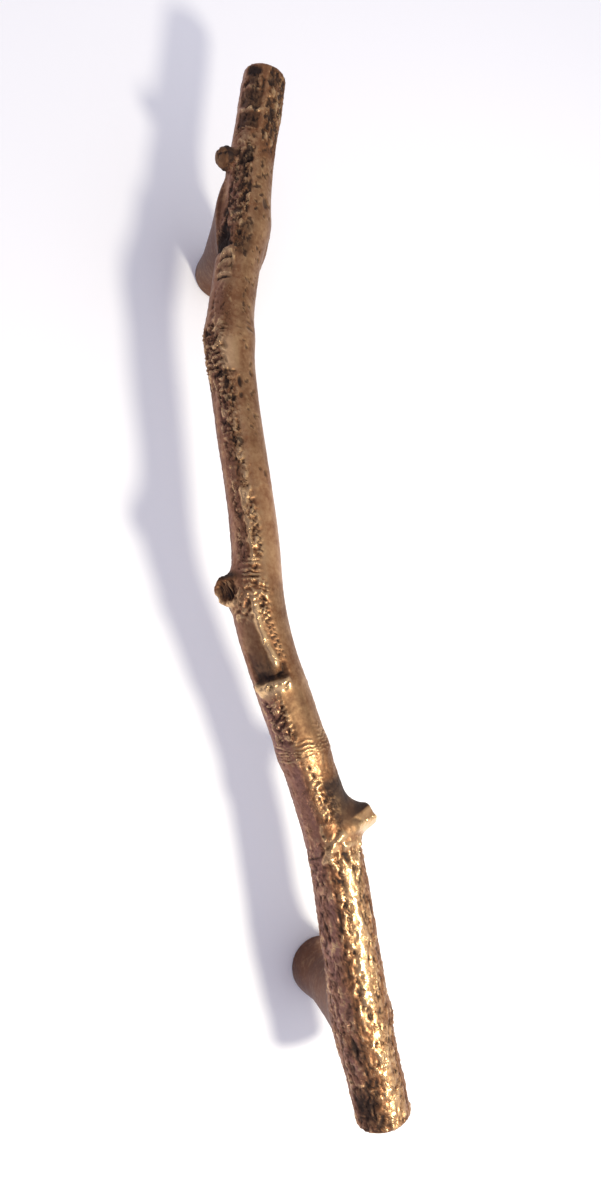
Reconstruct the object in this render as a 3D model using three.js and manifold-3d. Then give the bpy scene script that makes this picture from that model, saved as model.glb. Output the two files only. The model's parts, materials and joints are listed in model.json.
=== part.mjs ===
// Branch-shaped pull handle, cast in bronze: a crooked limb with pruned twigs is the grip, and it
// stands off the door on two round posts. Millimetres; +Z points away from the door, +Y runs
// along the grip from its thick end to its thin end, and the feet lie in the plane z = 0.
//
// The real handle is one casting. Here it is divided at its forks, so the grip, each post and each
// twig stub is a solid of its own, fitted to the grip with a hairline gap.

import * as THREE from 'three';
import { mergeVertices } from 'three/addons/utils/BufferGeometryUtils.js';
import Module from 'manifold-3d';

const wasm = await Module();
wasm.setup();

// ---- Driving dimensions -------------------------------------------------------------------

const FIXING_CENTRES = 350; // distance between the two fixing holes
const FEET_MIDDLE = [4.9, -11.3]; // x, y midway between the feet; the origin is under the outline's middle
const FIT_GAP = 0.3; // left between the grip and whatever grows from it

// The grip's centre line and half-thickness, from the thick end to the thin end: [x, y, z, radius],
// with x and y measured from the point midway between the feet.
const GRIP_STATIONS = [
  [2.3, -222.5, 59.4, 12],
  [1, -202, 59, 12.4],
  [-0.5, -180, 58.7, 12.6],
  [-1.2, -148, 59, 12.4],
  [-1.7, -116, 60, 12],
  [-3.8, -94, 60.9, 11.6],
  [-8.5, -68, 62.2, 11.1],
  [-14.4, -40, 64, 11.3],
  [-19.5, -14, 64.5, 11.1],
  [-21, 5, 64.4, 11.1],
  [-18.8, 30, 64.3, 10.3],
  [-17.8, 62, 62.8, 10.1],
  [-17.1, 97, 60, 10],
  [-15, 123, 57.5, 10.5],
  [-7.4, 152, 54.9, 9.9],
  [1.3, 177, 53.6, 10.2],
  [8.9, 206, 54.2, 9.7],
  [14.8, 227, 55.5, 10],
  [19.7, 243.5, 56.6, 9.6],
];
const GRIP_STEP = 5; // spacing of the rings of facets along the grip
const GRIP_SIDES = 28; // facets round the grip
const GRIP_END_ROUND = 2.2; // radius of the rounded rims at both ends

// Growth marks that swell the grip. y: where along the grip; round: the angle round it, 0 on top
// and positive towards +X, or null for a ring all the way round; long, wide: half-size along and
// round the grip; high: how far it stands proud.
const SWELLINGS = [
  { y: -177, round: 78, long: 5, wide: 6, high: 1.3 }, // loose flake of bark
  { y: -106, round: -72, long: 5, wide: 5, high: 1.6 }, // healed bud
  { y: -62, round: null, long: 5, wide: 0, high: 0.8 }, // year ring
  { y: -33, round: -30, long: 5, wide: 9, high: 1.9 }, // lip of a torn-off side shoot
  { y: 9, round: -72, long: 13, wide: 10, high: 1.5 }, // collar behind the middle knot
  { y: 121, round: null, long: 7, wide: 0, high: 0.7 }, // year ring
  { y: 171, round: 80, long: 9, wide: 9, high: 1.3 }, // shoulder over the upper post
  { y: 204, round: -60, long: 8, wide: 8, high: 0.9 }, // collar behind the end knot
];

// The posts. rise: height of the saddle's lips; waist: radius at the narrowest height; flareThick,
// flareThin: how much further the saddle reaches along the grip towards the thick and thin ends.
const POSTS = {
  lower_post: {
    y: -FIXING_CENTRES / 2,
    foot: 14.5,
    waist: 12.8,
    waistHeight: 24,
    shoulder: 12.6,
    rise: 52.6,
    flareStart: 12,
    flareThick: 14,
    flareThin: 8,
  },
  upper_post: {
    y: FIXING_CENTRES / 2,
    foot: 12,
    waist: 11.5,
    waistHeight: 12,
    shoulder: 11.5,
    rise: 48.6,
    flareStart: 8,
    flareThick: 7,
    flareThin: 12,
  },
};
const POST_SIDES = 28;
const POST_STEP = 3.5; // spacing of the rings of facets up a post
const FOOT_EDGE = 0.6; // chamfer round each foot
const THREAD_CORE = 6.8; // core diameter of the M8 thread in each foot
const THREAD_DEPTH = 18;
const DRILL_POINT = 2; // depth of the cone that the drill leaves
const THREAD_SIDES = 16;

// Pruned twigs. root and tip: ends of the stub's axis; rootRadius, tipRadius: its half-thickness;
// cut: the outward direction of the saw cut through the tip; round: radius of the cut's rim.
const STUBS = {
  side_twig: {
    root: [-4, -91.5, 60.9],
    tip: [15.2, -90.8, 66.5],
    rootRadius: 10.4,
    tipRadius: 5.2,
    cut: [0.66, -0.16, 0.73],
    round: 1,
  },
  middle_knot: {
    root: [-21, 12.5, 64],
    tip: [-34.6, 14.4, 66.8],
    rootRadius: 9.5,
    tipRadius: 6.9,
    cut: [-0.84, 0.05, 0.54],
    round: 1.8,
  },
  end_knot: {
    root: [8, 203, 54.3],
    tip: [-6.8, 205.2, 57],
    rootRadius: 5.2,
    tipRadius: 5,
    cut: [-0.93, -0.1, 0.36],
    round: 1.4,
  },
};
const STUB_SIDES = 24;
const STUB_RINGS = 6;

const FINISHES = {
  bark: { color: 0x9a7048, roughness: 0.45, metalness: 1 }, // rubbed brown bronze with a bark relief
  smooth: { color: 0x7d5a40, roughness: 0.4, metalness: 1 }, // brown bronze left smooth
};

// ---- From three.js geometry to solids and back -----------------------------------------------

// Joins the vertices that lie on each other and drops the facets that this leaves with no area.
function weld(geometry) {
  geometry.deleteAttribute('normal');
  geometry.deleteAttribute('uv');
  const merged = mergeVertices(geometry, 1e-4);
  const corners = merged.getIndex().array;
  const kept = [];
  for (let i = 0; i < corners.length; i += 3) {
    const [a, b, c] = corners.slice(i, i + 3);
    if (a !== b && b !== c && c !== a) kept.push(a, b, c);
  }
  merged.setIndex(kept);
  return merged;
}

function toSolid(geometry) {
  const merged = weld(geometry);
  return new wasm.Manifold(new wasm.Mesh({
    numProp: 3,
    vertProperties: new Float32Array(merged.getAttribute('position').array),
    triVerts: new Uint32Array(merged.getIndex().array),
  }));
}

function toGeometry(solid) {
  const mesh = solid.getMesh();
  const geometry = new THREE.BufferGeometry();
  geometry.setAttribute('position', new THREE.BufferAttribute(mesh.vertProperties, 3));
  geometry.setIndex(new THREE.BufferAttribute(mesh.triVerts, 1));
  return geometry;
}

// A lathe-turned blank whose every vertex is then moved to place(distance from the axis, distance
// along the axis, angle round the axis). The profile is a list of such [distance, along] pairs.
function bentLathe(profile, sides, place) {
  const outline = profile.map(([out, along]) => new THREE.Vector2(out, along));
  const geometry = new THREE.LatheGeometry(outline, sides);
  const position = geometry.getAttribute('position');
  for (let i = 0; i < position.count; i += 1) {
    const out = Math.hypot(position.getX(i), position.getZ(i));
    const angle = Math.atan2(position.getX(i), position.getZ(i));
    position.setXYZ(i, ...place(out, position.getY(i), angle).toArray());
  }
  return geometry;
}

// Evenly spaced values from start to end, both included, no further apart than the step.
function spread(start, end, step) {
  const count = Math.ceil((end - start) / step);
  return Array.from({ length: count + 1 }, (_, i) => start + ((end - start) * i) / count);
}

// ---- The grip --------------------------------------------------------------------------------

const centreLine = new THREE.CatmullRomCurve3(
  GRIP_STATIONS.map(([x, y, z]) => new THREE.Vector3(x, y, z)), false, 'catmullrom', 0.5,
);
const thickness = new THREE.CatmullRomCurve3(
  GRIP_STATIONS.map(([, , , radius]) => new THREE.Vector3(radius, 0, 0)), false, 'catmullrom', 0.5,
);
centreLine.arcLengthDivisions = 1000;
const gripLength = centreLine.getLength();

const bell = (x) => Math.exp(-x * x);

// How far the growth marks push the grip's skin out at height y along it and angle (radians) round.
function swelling(y, angle, radius) {
  let total = 0;
  for (const mark of SWELLINGS) {
    let share = bell((y - mark.y) / mark.long);
    if (mark.round !== null) {
      const turn = angle - THREE.MathUtils.degToRad(mark.round);
      share *= bell((2 * radius * Math.sin(turn / 2)) / mark.wide);
    }
    total += mark.high * share;
  }
  return total;
}

// A point of the grip: share of the way from its centre line to its skin, distance from the thick
// end, and angle round it, 0 on top and positive towards +X.
function gripPoint(share, along, angle, clearance) {
  const t = centreLine.getUtoTmapping(THREE.MathUtils.clamp(along / gripLength, 0, 1));
  const centre = centreLine.getPoint(t);
  const ahead = centreLine.getTangent(t);
  const side = new THREE.Vector3().crossVectors(ahead, new THREE.Vector3(0, 0, 1)).normalize();
  const up = new THREE.Vector3().crossVectors(side, ahead);
  const radius = thickness.getPoint(t).x;
  const skin = radius + swelling(centre.y, angle, radius) + clearance;
  return centre
    .addScaledVector(up, share * skin * Math.cos(angle))
    .addScaledVector(side, share * skin * Math.sin(angle));
}

// The rounded rim at an end of the grip, as [share of the end's radius, distance from the end].
function gripRim([, , , radius]) {
  return [90, 60, 30, 0].map((degrees) => {
    const turn = THREE.MathUtils.degToRad(degrees);
    const share = 1 - (GRIP_END_ROUND / radius) * (1 - Math.cos(turn));
    return [share, GRIP_END_ROUND * (1 - Math.sin(turn))];
  });
}

function gripGeometry(clearance) {
  const thickEnd = gripRim(GRIP_STATIONS[0]);
  const thinEnd = gripRim(GRIP_STATIONS.at(-1))
    .map(([share, inset]) => [share, gripLength - inset])
    .reverse();
  const middle = spread(GRIP_END_ROUND, gripLength - GRIP_END_ROUND, GRIP_STEP)
    .slice(1, -1)
    .map((along) => [1, along]);
  const profile = [[0, 0], ...thickEnd, ...middle, ...thinEnd, [0, gripLength]];
  return bentLathe(profile, GRIP_SIDES, (share, along, angle) => gripPoint(share, along, angle, clearance));
}

const gripWithClearance = toSolid(gripGeometry(FIT_GAP));

// ---- The posts -------------------------------------------------------------------------------

// Radius of a post at a height: foot, then a slight waist, then the shoulder under the grip.
function postRadius(post, height) {
  const { smoothstep, lerp } = THREE.MathUtils;
  if (height < post.waistHeight) {
    return lerp(post.foot, post.waist, smoothstep(height, 0, post.waistHeight));
  }
  return lerp(post.waist, post.shoulder, smoothstep(height, post.waistHeight, post.rise));
}

function postGeometry(post) {
  const heights = spread(FOOT_EDGE, post.rise, POST_STEP);
  const profile = [
    [0, 0],
    [post.foot - FOOT_EDGE, 0],
    ...heights.map((height) => [postRadius(post, height), height]),
    [0, post.rise],
  ];
  return bentLathe(profile, POST_SIDES, (out, height, angle) => {
    const spreading = Math.max(0, (height - post.flareStart) / (post.rise - post.flareStart)) ** 2;
    const flare = Math.cos(angle) > 0 ? post.flareThick : post.flareThin;
    const stretch = 1 + (flare * spreading) / postRadius(post, height);
    return new THREE.Vector3(
      out * Math.sin(angle),
      post.y - out * Math.cos(angle) * stretch,
      height,
    );
  });
}

function threadHole(post) {
  const core = THREAD_CORE / 2;
  const profile = [[0, -1], [core, -1], [core, THREAD_DEPTH], [0, THREAD_DEPTH + DRILL_POINT]];
  return bentLathe(profile, THREAD_SIDES, (out, height, angle) => new THREE.Vector3(
    out * Math.sin(angle),
    post.y - out * Math.cos(angle),
    height,
  ));
}

function buildPost(post) {
  const blank = toSolid(postGeometry(post));
  return toGeometry(blank.subtract(gripWithClearance).subtract(toSolid(threadHole(post))));
}

// ---- The pruned twigs ------------------------------------------------------------------------

// A tapered stub along its axis, its end rings tilted into the plane of the saw cut and its rim
// rounded, fitted to the grip.
function buildStub(stub) {
  const root = new THREE.Vector3(...stub.root);
  const tip = new THREE.Vector3(...stub.tip);
  const axis = tip.clone().sub(root);
  const length = axis.length();
  axis.normalize();
  const cut = new THREE.Vector3(...stub.cut).normalize();
  const side = new THREE.Vector3().crossVectors(axis, new THREE.Vector3(0, 0, 1)).normalize();
  const up = new THREE.Vector3().crossVectors(side, axis);
  const barrel = spread(0, 1, 1 / STUB_RINGS).map((share) => [
    THREE.MathUtils.lerp(stub.rootRadius, stub.tipRadius, share),
    share * (length - stub.round),
  ]);
  const rim = [stub.tipRadius - 0.3 * stub.round, length - 0.3 * stub.round];
  const profile = [[0, 0], ...barrel, rim, [stub.tipRadius - stub.round, length], [0, length]];
  const geometry = bentLathe(profile, STUB_SIDES, (out, along, angle) => {
    const offset = new THREE.Vector3()
      .addScaledVector(up, out * Math.cos(angle))
      .addScaledVector(side, out * Math.sin(angle));
    const tilt = -offset.dot(cut) / axis.dot(cut);
    const share = along / length;
    return root.clone().addScaledVector(axis, along + tilt * share).add(offset);
  });
  return toGeometry(toSolid(geometry).subtract(gripWithClearance));
}

// ---- Assembly --------------------------------------------------------------------------------

function piece(name, geometry, finish) {
  const mesh = new THREE.Mesh(geometry, new THREE.MeshStandardMaterial(finish));
  mesh.name = name;
  return mesh;
}

const casting = new THREE.Group();
casting.add(piece('grip', weld(gripGeometry(0)), FINISHES.bark));
for (const [name, post] of Object.entries(POSTS)) {
  casting.add(piece(name, buildPost(post), FINISHES.smooth));
}
for (const [name, stub] of Object.entries(STUBS)) {
  casting.add(piece(name, buildStub(stub), FINISHES.bark));
}

casting.position.set(...FEET_MIDDLE, 0);

const handle = new THREE.Group();
handle.add(casting);

export default handle;
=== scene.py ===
"""Branch-shaped pull handle in cast bronze, laid out as an add-on.

The CAD model gives the size and the place of everything. Here the grip, its two posts and its three
pruned twigs get the skin of the casting: bark with furrows, plates, pits and growth marks, smooth
posts that grow out of the bark, and a bronze that is dark in the hollows and rubbed on the crests.

All shapes are worked out in millimetres from the point midway between the two feet, and are turned
into metres in the row's frame when a mesh is made.
"""

import json
import math

import bpy
import numpy as np
from mathutils import Matrix, Vector


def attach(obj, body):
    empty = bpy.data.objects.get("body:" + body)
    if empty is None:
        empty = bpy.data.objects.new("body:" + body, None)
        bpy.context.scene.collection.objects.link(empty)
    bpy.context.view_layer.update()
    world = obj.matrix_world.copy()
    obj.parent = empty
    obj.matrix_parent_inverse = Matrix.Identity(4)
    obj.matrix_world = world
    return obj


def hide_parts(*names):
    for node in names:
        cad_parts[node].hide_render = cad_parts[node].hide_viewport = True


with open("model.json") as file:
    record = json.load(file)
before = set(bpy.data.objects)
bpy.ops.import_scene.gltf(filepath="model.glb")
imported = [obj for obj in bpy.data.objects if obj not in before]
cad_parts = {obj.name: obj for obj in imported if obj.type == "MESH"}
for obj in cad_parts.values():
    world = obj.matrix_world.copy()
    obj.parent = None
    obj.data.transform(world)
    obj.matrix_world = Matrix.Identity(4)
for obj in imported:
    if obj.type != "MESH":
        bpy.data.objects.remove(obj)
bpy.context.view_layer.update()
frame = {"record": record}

bl_info = {
    "name": "Branch Pull Handle",
    "version": (1, 0, 0),
    "blender": (4, 5, 0),
    "location": "View3D > Sidebar > Handle",
    "description": "A cast bronze pull handle in the shape of a pruned branch",
    "category": "Add Mesh",
}

MM = 0.001

# The two feet's mounts lie on the line between the feet, as far from the one as from the other.
FEET = [Vector(mount["pos_m"]) for mount in frame["record"]["mounts"]]
FEET_MIDDLE = np.array((FEET[0] + FEET[1]) / 2)
FIXING_CENTRES = 350.0

# ---- Shape of the grip, its posts and its twigs, in millimetres ---------------------------------

# The grip's centre line and half-thickness from the thick end to the thin end: x, y, z, radius.
GRIP_STATIONS = (
    (2.3, -222.5, 59.4, 12.0),
    (1.0, -202.0, 59.0, 12.4),
    (-0.5, -180.0, 58.7, 12.6),
    (-1.2, -148.0, 59.0, 12.4),
    (-1.7, -116.0, 60.0, 12.0),
    (-3.8, -94.0, 60.9, 11.6),
    (-8.5, -68.0, 62.2, 11.1),
    (-14.4, -40.0, 64.0, 11.3),
    (-19.5, -14.0, 64.5, 11.1),
    (-21.0, 5.0, 64.4, 11.1),
    (-18.8, 30.0, 64.3, 10.3),
    (-17.8, 62.0, 62.8, 10.1),
    (-17.1, 97.0, 60.0, 10.0),
    (-15.0, 123.0, 57.5, 10.5),
    (-7.4, 152.0, 54.9, 9.9),
    (1.3, 177.0, 53.6, 10.2),
    (8.9, 206.0, 54.2, 9.7),
    (14.8, 227.0, 55.5, 10.0),
    (19.7, 243.5, 56.6, 9.6),
)
MIDDLING_RADIUS = 11.0
END_ROUND = 2.2

POSTS = {
    "lower_post": {
        "y": -FIXING_CENTRES / 2, "foot": 14.5, "waist": 12.8, "waist_height": 24.0, "shoulder": 12.6,
        "rise": 52.6, "flare_start": 12.0, "flare_thick": 14.0, "flare_thin": 8.0,
    },
    "upper_post": {
        "y": FIXING_CENTRES / 2, "foot": 12.0, "waist": 11.5, "waist_height": 12.0, "shoulder": 11.5,
        "rise": 48.6, "flare_start": 8.0, "flare_thick": 7.0, "flare_thin": 12.0,
    },
}
FOOT_EDGE = 0.6
THREAD_CORE = 6.8
THREAD_DEPTH = 18.0
DRILL_POINT = 2.0
DRILL_TIP = 0.3

STUBS = {
    "side_twig": {
        "root": (-3.0, -91.5, 60.5),
        "tip": (17.2, -91.0, 66.3),
        "outline": ((0.0, 11.3), (0.35, 9.3), (0.7, 6.5), (1.0, 5.2)),
        "cuts": (
            ((10.7, -90.3, 69.2), (0.42, -0.14, 0.90)),
            ((12.7, -93.3, 67.8), (0.35, -0.72, 0.60)),
            ((15.5, -89.2, 67.1), (0.91, 0.40, 0.11)),
            ((16.9, -94.0, 65.8), (0.96, -0.25, 0.10)),
        ),
        "round": 0.8,
        "blend": 6.0,
    },
    "middle_knot": {
        "root": (-21.0, 12.5, 64.0),
        "tip": (-34.6, 14.4, 66.8),
        "outline": ((0.0, 9.5), (0.7, 7.9), (1.0, 6.9)),
        "cuts": (((-34.6, 14.4, 66.8), (-0.80, 0.0, 0.60)),),
        "round": 1.8,
        "blend": 3.5,
    },
    "end_knot": {
        "root": (8.0, 203.0, 54.3),
        "tip": (-6.6, 205.0, 57.0),
        "outline": ((0.0, 5.0), (0.62, 4.2), (0.82, 4.9), (1.0, 4.6)),
        "cuts": (((-6.6, 205.0, 57.0), (-0.93, -0.1, 0.36)),),
        "round": 2.2,
        "blend": 2.0,
    },
}

# ---- Numbers from arrays ------------------------------------------------------------------------


def smooth_step(low, high, x):
    """0 below low, 1 above high and 3t² - 2t³ between them; high may be the smaller one."""
    t = np.clip((x - low) / (high - low), 0.0, 1.0)
    return t * t * (3.0 - 2.0 * t)


def window(x, low, high, soft):
    """1 between low and high, falling smoothly to 0 over the soft width at each end."""
    return smooth_step(low - soft, low + soft, x) * smooth_step(high + soft, high - soft, x)


def bell(x):
    """1 at 0 and falling away on both sides: e to the power of minus x squared."""
    return np.exp(-x * x)


def smooth_min(a, b, blend):
    """The smaller of two distances, rounded off where they differ by less than blend."""
    t = np.clip(0.5 + 0.5 * (b - a) / blend, 0.0, 1.0)
    return b + (a - b) * t - blend * t * (1.0 - t)


def smooth_max(a, b, blend):
    """The larger of two distances, rounded off in the same way."""
    return -smooth_min(-a, -b, blend)


def hashed(cells, seed):
    """A number from 0 to 1 for each whole-numbered cell (x, y, z), always the same for one seed."""
    cells = cells.astype(np.int64)
    mixed = cells[..., 0] * 73856093 ^ cells[..., 1] * 19349663 ^ cells[..., 2] * 83492791
    mixed = (mixed ^ (seed * 2654435761)) & 0xFFFFFFFF
    mixed = ((mixed ^ (mixed >> 15)) * 2246822519) & 0xFFFFFFFF
    mixed = ((mixed ^ (mixed >> 13)) * 3266489917) & 0xFFFFFFFF
    return ((mixed ^ (mixed >> 16)) & 0xFFFFFF) / 0xFFFFFF


def hashed_triple(cells, seed):
    """Three such numbers for each cell."""
    return np.stack([hashed(cells, seed + k) for k in range(3)], -1)


NOISE_SPREAD = 1.7


def noise(points, size, seed):
    """Gradient noise, about -1 to 1, in cells of a size in millimetres: each corner of a cell has a
    random slope, and the eight slopes are faded into each other across the cell."""
    points = points / np.array(size)
    base = np.floor(points)
    local = points - base
    fade = local**3 * (local * (local * 6.0 - 15.0) + 10.0)
    total = 0.0
    for number in range(8):
        corner = np.array([number & 1, (number >> 1) & 1, (number >> 2) & 1])
        slope = 2.0 * hashed_triple(base + corner, seed) - 1.0
        share = np.prod(np.where(corner, fade, 1.0 - fade), -1)
        total = total + share * (slope * (local - corner)).sum(-1)
    return NOISE_SPREAD * total


def scattered(points, size, seed):
    """Distance to the nearest of points strewn one to a cell, in cells, and that point's number."""
    points = points / np.array(size)
    base = np.floor(points)
    nearest = np.full(points.shape[:-1], np.inf)
    own = np.zeros(points.shape[:-1])
    for number in range(27):
        cell = base + np.array([number % 3, number // 3 % 3, number // 9]) - 1
        away = np.linalg.norm(points - cell - hashed_triple(cell, seed), axis=-1)
        closer = away < nearest
        nearest = np.where(closer, away, nearest)
        own = np.where(closer, hashed(cell, seed + 5), own)
    return nearest, own


# ---- The grip's centre line ---------------------------------------------------------------------


class Limb:
    """A curved limb: a smooth line through its stations, with a side, an up and a radius all along.

    Between two stations the line is the cubic whose slope at each station is half the step from the
    station before to the one after. Up is the direction nearest to +Z that is square to the line,
    and the angle round the limb is 0 there and grows towards the side, which is near +X.
    """

    def __init__(self, stations, steps=60):
        """Works out the line at so many places between each two stations."""
        known = np.array(stations)
        padded = np.vstack([2 * known[0] - known[1], known, 2 * known[-1] - known[-2]])
        t = np.linspace(0.0, 1.0, steps, endpoint=False)[:, None]
        spans = []
        for a, b, c, d in zip(padded, padded[1:], padded[2:], padded[3:]):
            curve = 2 * b + (c - a) * t + (2 * a - 5 * b + 4 * c - d) * t**2
            spans.append(0.5 * (curve + (3 * b - a - 3 * c + d) * t**3))
        line = np.vstack(spans + [known[-1:]])
        centre = line[:, :3]
        gaps = np.linalg.norm(np.diff(centre, axis=0), axis=1)
        self.along = np.concatenate([[0.0], np.cumsum(gaps)])
        self.length = self.along[-1]
        ahead = np.gradient(centre, self.along, axis=0)
        ahead /= np.linalg.norm(ahead, axis=1, keepdims=True)
        side = np.cross(ahead, [0.0, 0.0, 1.0])
        side /= np.linalg.norm(side, axis=1, keepdims=True)
        up = np.cross(side, ahead)
        self.table = np.hstack([centre, ahead, side, up, line[:, 3:]])

    def at(self, along):
        """Centre, ahead, side, up and radius at distances along the limb."""
        columns = [np.interp(along, self.along, column) for column in self.table.T]
        values = np.stack(columns, -1)
        return values[..., 0:3], values[..., 3:6], values[..., 6:9], values[..., 9:12], values[..., 12]

    def locate(self, points):
        """Where points lie by the limb: distance along it, angle round it and distance from its line.
        The foot of each point starts at its own y and is slid along until it is square to the line."""
        along = np.interp(points[..., 1], self.table[:, 1], self.along)
        for _ in range(4):
            centre, ahead, side, up, radius = self.at(along)
            along = np.clip(along + ((points - centre) * ahead).sum(-1), 0.0, self.length)
        centre, ahead, side, up, radius = self.at(along)
        out = points - centre
        out_side = (out * side).sum(-1)
        out_up = (out * up).sum(-1)
        return along, np.arctan2(out_side, out_up), np.hypot(out_side, out_up), radius


LIMB = Limb(GRIP_STATIONS)

# ---- What grows from the grip -------------------------------------------------------------------


class Post:
    """An upright round post whose section is drawn out along the grip as it nears it."""

    blend = 5.0
    top_past_rise = 3.0
    top_round = 2.0

    def __init__(self, sizes):
        self.sizes = sizes

    def radius(self, height):
        """Smooth steps from the foot's radius to the waist's, and from there to the shoulder's."""
        s = self.sizes
        low = smooth_step(0.0, s["waist_height"], height)
        high = smooth_step(s["waist_height"], s["rise"], height)
        return s["foot"] + (s["waist"] - s["foot"]) * low + (s["shoulder"] - s["waist"]) * high

    def distance(self, points):
        """How far points are outside the post: the distance from its axis less its radius, with y
        first shrunk by the flare, which grows with the square of the height above its start."""
        s = self.sizes
        y = points[..., 1] - s["y"]
        height = points[..., 2]
        radius = self.radius(height)
        spread = np.clip((height - s["flare_start"]) / (s["rise"] - s["flare_start"]), 0.0, 1.0) ** 2
        flare = np.where(y > 0.0, s["flare_thin"], s["flare_thick"]) * spread
        around = np.hypot(points[..., 0], y * radius / (radius + flare)) - radius
        return smooth_max(around, height - s["rise"] - self.top_past_rise, self.top_round)

    def relief(self, points):
        """Height, hollow and rub of the post's own skin: the faint waves of a dressed casting."""
        waves = 0.12 * noise(points, 7.0, 41) + 0.04 * noise(points, 2.2, 42)
        flat = np.zeros(points.shape[:-1])
        return waves, flat, flat


class Stub:
    """A pruned twig: a tapered stub along its axis, cut off by planes, with rounded edges."""

    def __init__(self, name, sizes):
        self.name = name
        self.blend = sizes["blend"]
        self.root = np.array(sizes["root"])
        self.tip = np.array(sizes["tip"])
        self.length = np.linalg.norm(self.tip - self.root)
        self.axis = (self.tip - self.root) / self.length
        self.cuts = [(np.array(at), np.array(way) / np.linalg.norm(way)) for at, way in sizes["cuts"]]
        self.round = sizes["round"]
        self.outline = np.array(sizes["outline"])

    def parts(self, points):
        """Share of the way along the axis, distance from the axis and distance past the first cut."""
        out = points - self.root
        along = out @ self.axis
        away = np.linalg.norm(out - along[..., None] * self.axis, axis=-1)
        at, way = self.cuts[0]
        return along / self.length, away, (points - at) @ way

    def distance(self, points):
        """How far points are outside the stub: the distance from its axis less the radius that its
        outline has there, or the distance past its root or a cut where that is larger."""
        share, away, _ = self.parts(points)
        body = away - np.interp(share, self.outline[:, 0], self.outline[:, 1])
        body = np.maximum(body, -self.length * share)
        for at, way in self.cuts:
            body = smooth_max(body, (points - at) @ way, self.round)
        return body

    def relief(self, points):
        """Height, hollow and rub of the stub's own skin, by the face that it was cut off at."""
        _, away, past = self.parts(points)
        on_face = smooth_step(-1.0, -0.3, past)
        return FACES[self.name](self, points, away, on_face)


def face_directions(stub):
    """Two directions square to each other in the plane of the cut, the second one nearest to +Y."""
    way = stub.cuts[0][1]
    across = np.cross([0.0, 1.0, 0.0], way)
    across /= np.linalg.norm(across)
    return across, np.cross(way, across)


def twig_face(stub, points, away, on_face):
    """A clean oblique cut with a bright lower edge, raised and with a painted highlight. Above it the
    stub is smooth and darkened with painted shade, a little lighter towards its tip, below it the bark
    heals over in lumps of noise, and a low callus, a smooth step of the distance from its own middle,
    sits against its inner edge with a crevice round it. The cut face has painted shade nearest its
    root."""
    beyond = points - stub.root
    above = smooth_step(-1.5, 2.5, beyond[..., 1] - 0.1 * beyond[..., 0])
    from_callus = (points - np.array([2.8, -93.0, 71.3])) / np.array([1.25, 0.95, 1.0])
    from_callus = np.linalg.norm(from_callus, axis=-1)
    callus = smooth_step(4.4, 1.4, from_callus)
    crevice = 0.6 * bell((from_callus - 4.2) / 0.9) * smooth_step(-1.0, 3.0, points[..., 1] + 93.0)
    lumps = noise(points, (2.4, 2.0, 2.4), 51) + 0.4 * noise(points, 1.1, 52)
    grain = noise(points, 2.5, 53)
    at, way = stub.cuts[1]
    low_side = smooth_step(8.0, 11.0, beyond[..., 0])
    # Painted highlight along the raised lower edge of the cut.
    edge = smooth_step(-1.7, -0.9, (points - at) @ way) * low_side
    on_face = on_face * (1.0 - edge)
    sides = 1.0 - np.maximum(on_face, edge)
    height = 0.06 * grain + sides * (1.0 - above) * 0.75 * lumps + 0.8 * callus - 0.45 * crevice
    height = height + (0.65 + 0.3 * lumps) * bell(((points - at) @ way + 0.9) / 0.75) * low_side
    # Painted shade on the stub's upper side by the grip, a little lighter towards its tip, and on the
    # cut face nearest its root.
    dusk = 1.0 - 0.15 * smooth_step(8.0, 16.0, beyond[..., 0])
    hollow = sides * (dusk * above + (1.0 - above) * smooth_step(-0.1, -0.8, lumps))
    shaded = smooth_step(10.0, 4.0, beyond[..., 0])
    hollow = np.maximum(hollow * (1.0 - callus), 0.8 * crevice)
    hollow = hollow + (0.25 + 0.25 * shaded) * on_face + 0.3 * callus
    rub = on_face * (0.50 + 0.15 * grain) + edge
    rub = rub + sides * (1.0 - above) * 0.9 * smooth_step(-0.2, 0.5, lumps) * (1.0 - callus)
    return height, np.clip(hollow, 0.0, 1.0), rub + 0.2 * callus


def dished_face(stub, points, away, on_face):
    """A weathered heart: a dish of fibres, which are noise drawn out five to one and slightly bent,
    inside a rim where the distance from the axis, made uneven by lumps, is near the rim's own. Painted
    shade darkens the stub past its upper edge, and a painted highlight lies on the rim's lower side."""
    across, upward = face_directions(stub)
    out = points - stub.tip
    bend = 0.05 * (out @ upward + 4.0) ** 2
    strands = np.stack([(out @ across + bend) / 1.1, out @ upward / 5.0, 0.0 * away], -1)
    fibres = noise(strands, 1.0, 61) + 0.4 * noise(strands, 0.5, 62)
    lumps = noise(points, 2.6, 63) + 0.5 * noise(points, 1.2, 64)
    away = away + lumps
    dish = smooth_step(6.2, 3.2, away)
    rim = bell((away - 6.3) / 1.2)
    height = on_face * (-1.4 * dish + 0.8 * fibres * dish) + (1.0 - 0.9 * dish * on_face) * 0.6 * lumps
    hollow = on_face * dish * (0.72 - 0.9 * fibres)
    hollow = np.maximum(hollow, smooth_step(-0.15, -0.8, lumps) * (1.0 - dish * on_face))
    # Painted shade past the stub's upper edge.
    top_edge = smooth_step(3.0, 6.0, points[..., 1] - stub.tip[1])
    hollow = np.maximum(hollow, 0.9 * top_edge)
    # Painted highlight on the lower side of the rim.
    rub = 0.9 * rim * smooth_step(2.0, -3.0, out @ upward)
    rub = rub + 0.45 * smooth_step(0.1, 0.6, fibres) * on_face * dish
    return height, np.clip(hollow, 0.0, 1.0), rub


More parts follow.
